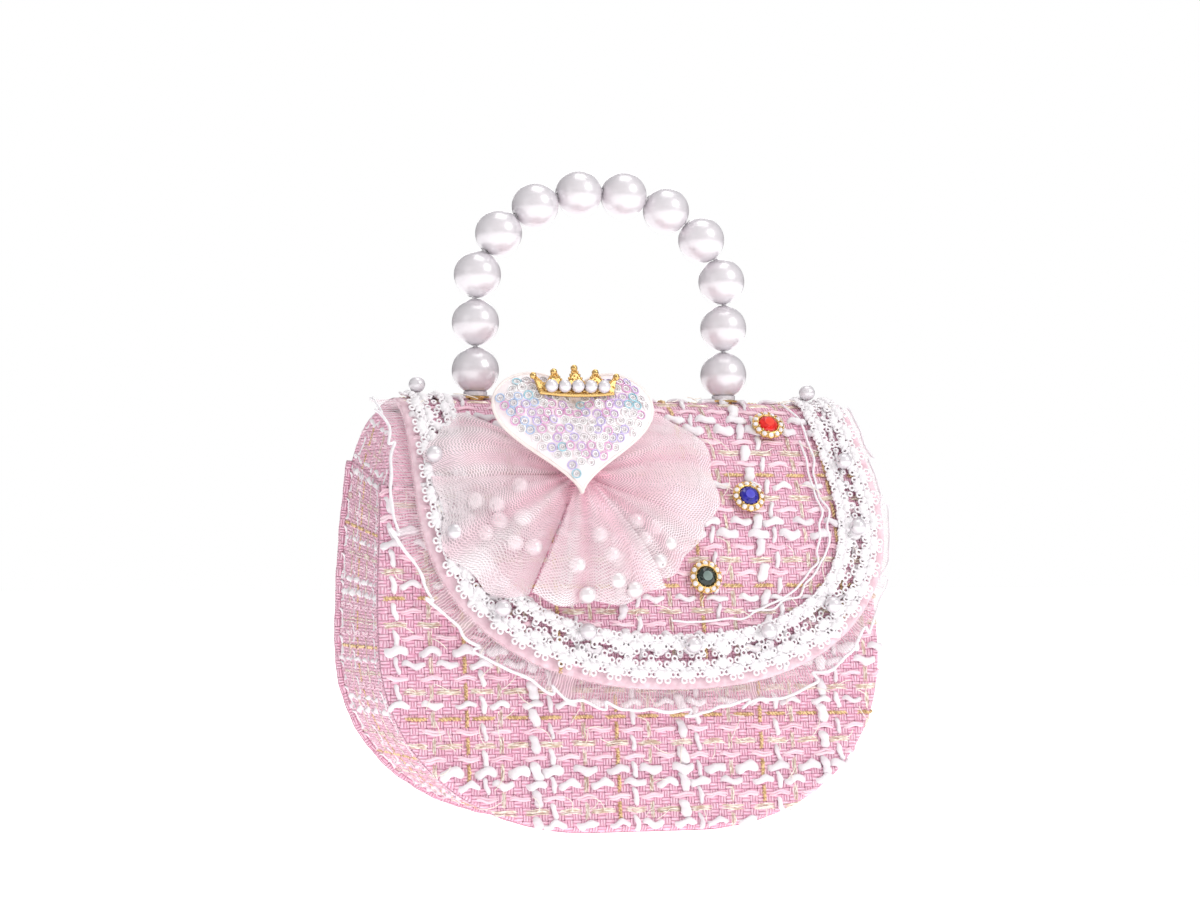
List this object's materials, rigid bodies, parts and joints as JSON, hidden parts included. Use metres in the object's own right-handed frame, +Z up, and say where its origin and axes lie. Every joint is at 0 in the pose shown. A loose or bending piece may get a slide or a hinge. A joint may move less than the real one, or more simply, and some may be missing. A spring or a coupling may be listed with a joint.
{
  "type": "child's handbag",
  "caption": "Small tweed handbag with a hinged front flap, lace and ruffle trim, a tulle bow, a padded heart and a swinging pearl bead top handle.",
  "frame": {"origin": "on the floor at the middle of the bag's flat base, under the handle's middle line in X", "axes": "+Z up, from the base to the top of the handle; the bag's front faces -Y; +X is to the right seen from the front"},
  "size_m": [0.169, 0.0652, 0.2084],
  "materials": {
    "tweed": "woven pink, white, gold and champagne yarns",
    "lining": "plain woven satin",
    "board": "matte stiffener board",
    "lace": "white satin yarn guipure",
    "organza": "sheer, pleated",
    "tulle": "fine soft net",
    "pearl": "pearl lustre",
    "sequin_cloth": "iridescent sequins on cream cloth",
    "gold": "polished light gold plating",
    "nickel": "plated steel",
    "cord": "smooth twisted cord",
    "red_glass": "faceted",
    "blue_glass": "faceted",
    "green_glass": "faceted"
  },
  "bodies": {
    "bag_body": {"back_board": "board", "back_panel": "tweed", "base_board": "board", "front_board": "board", "front_panel": "tweed", "gusset": "tweed", "lining": "lining", "snap_socket": "nickel", "snap_socket_washer": "nickel"},
    "flap": {"bead_cap_left": "pearl", "bead_cap_right": "pearl", "bow_gather": "tulle", "bow_left": "tulle", "bow_right": "tulle", "bow_tail": "tulle", "button_blue_crystal": "blue_glass", "button_blue_setting": "gold", "button_green_crystal": "green_glass", "button_green_setting": "gold", "button_red_crystal": "red_glass", "button_red_setting": "gold", "cord_knot_left": "cord", "cord_knot_right": "cord", "crown": "gold", "crown_pearl_row": "pearl", "eyelet_left": "gold", "eyelet_right": "gold", "flap_board": "board", "flap_lining": "lining", "flap_shell": "tweed", "heart_pad": "sequin_cloth", "lace_braid": "lace", "lace_pearl_01": "pearl", "lace_pearl_02": "pearl", "lace_pearl_03": "pearl", "lace_pearl_04": "pearl", "lace_pearl_05": "pearl", "lace_pearl_06": "pearl", "lace_pearl_07": "pearl", "lace_pearl_08": "pearl", "lace_pearl_09": "pearl", "lace_pearl_10": "pearl", "lace_pearl_11": "pearl", "ruffle": "organza", "snap_stud": "nickel", "snap_stud_washer": "nickel"},
    "handle": {"handle_bead_01": "pearl", "handle_bead_02": "pearl", "handle_bead_03": "pearl", "handle_bead_04": "pearl", "handle_bead_05": "pearl", "handle_bead_06": "pearl", "handle_bead_07": "pearl", "handle_bead_08": "pearl", "handle_bead_09": "pearl", "handle_bead_10": "pearl", "handle_bead_11": "pearl", "handle_bead_12": "pearl", "handle_cord": "cord"}
  },
  "joints": [
    {"name": "flap_hinge", "type": "hinge", "parent": "bag_body", "child": "flap", "pos_m": [0, 0.0331, 0.115], "axis": [-1, 0, 0], "range_deg": [0, 110]},
    {"name": "handle_swing", "type": "hinge", "parent": "flap", "child": "handle", "pos_m": [0, 0.0163, 0.14323], "axis": [-1, 0, 0], "range_deg": [-75, 80]}
  ]
}
